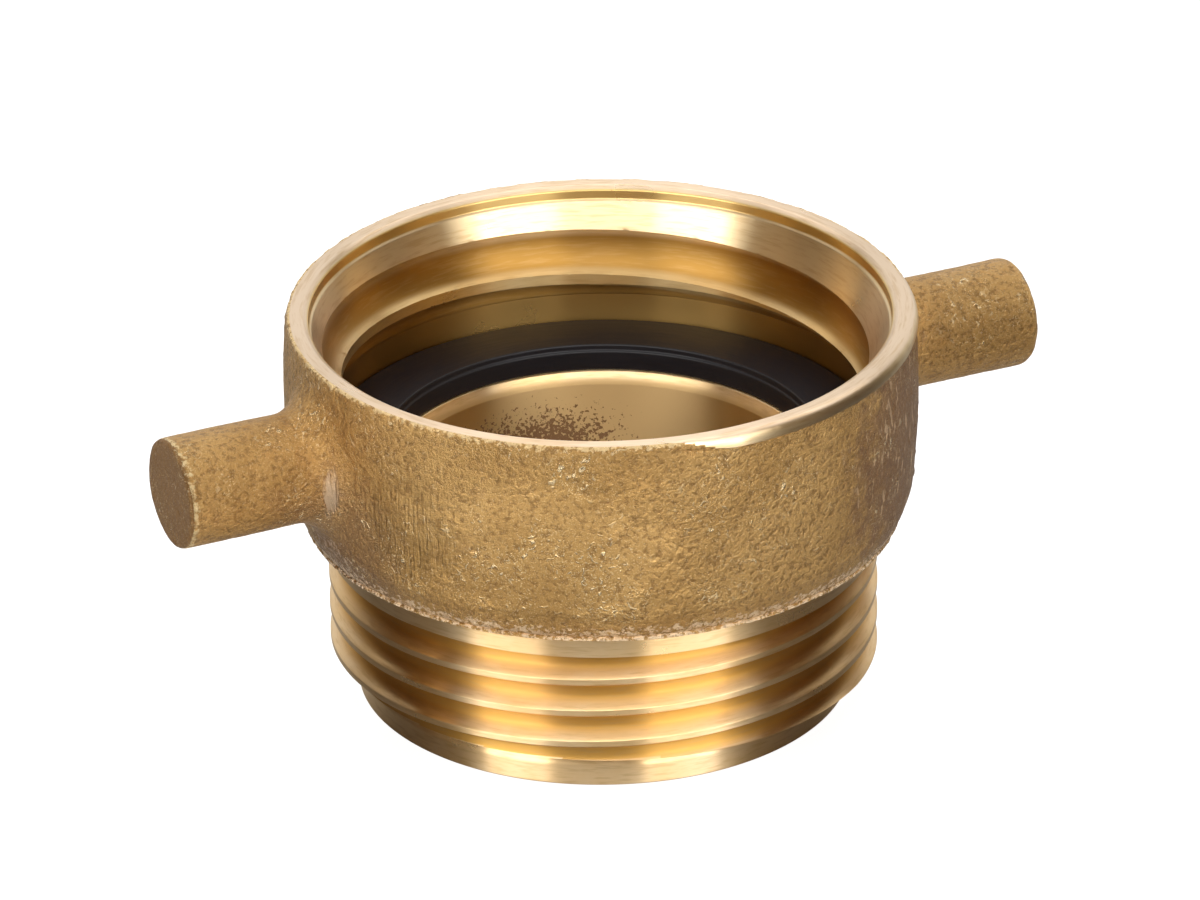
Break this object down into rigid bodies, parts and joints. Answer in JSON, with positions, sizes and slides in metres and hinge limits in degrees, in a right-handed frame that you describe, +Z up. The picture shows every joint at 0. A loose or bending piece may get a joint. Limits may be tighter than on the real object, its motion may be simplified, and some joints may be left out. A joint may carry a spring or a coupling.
{
  "type": "fire hose thread adaptor coupling",
  "caption": "Cast brass fire hose adaptor: internal round thread in a lugged collar, external thread on a spigot, and a flat rubber sealing washer.",
  "frame": {"origin": "centre of the spigot's end face, on the axis of the waterway", "axes": "+Z up the waterway towards the lugged socket, +X and -X along the two pin lugs, +Y square to both"},
  "size_m": [0.1388, 0.0938, 0.0598],
  "materials": {
    "cast_brass": "as cast outside, turned and dull-bright on the threads, bore and rim",
    "black_rubber": "matte with a faint sheen"
  },
  "bodies": {
    "root": {"coupling_body": "cast_brass", "sealing_washer": "black_rubber"}
  },
  "joints": []
}
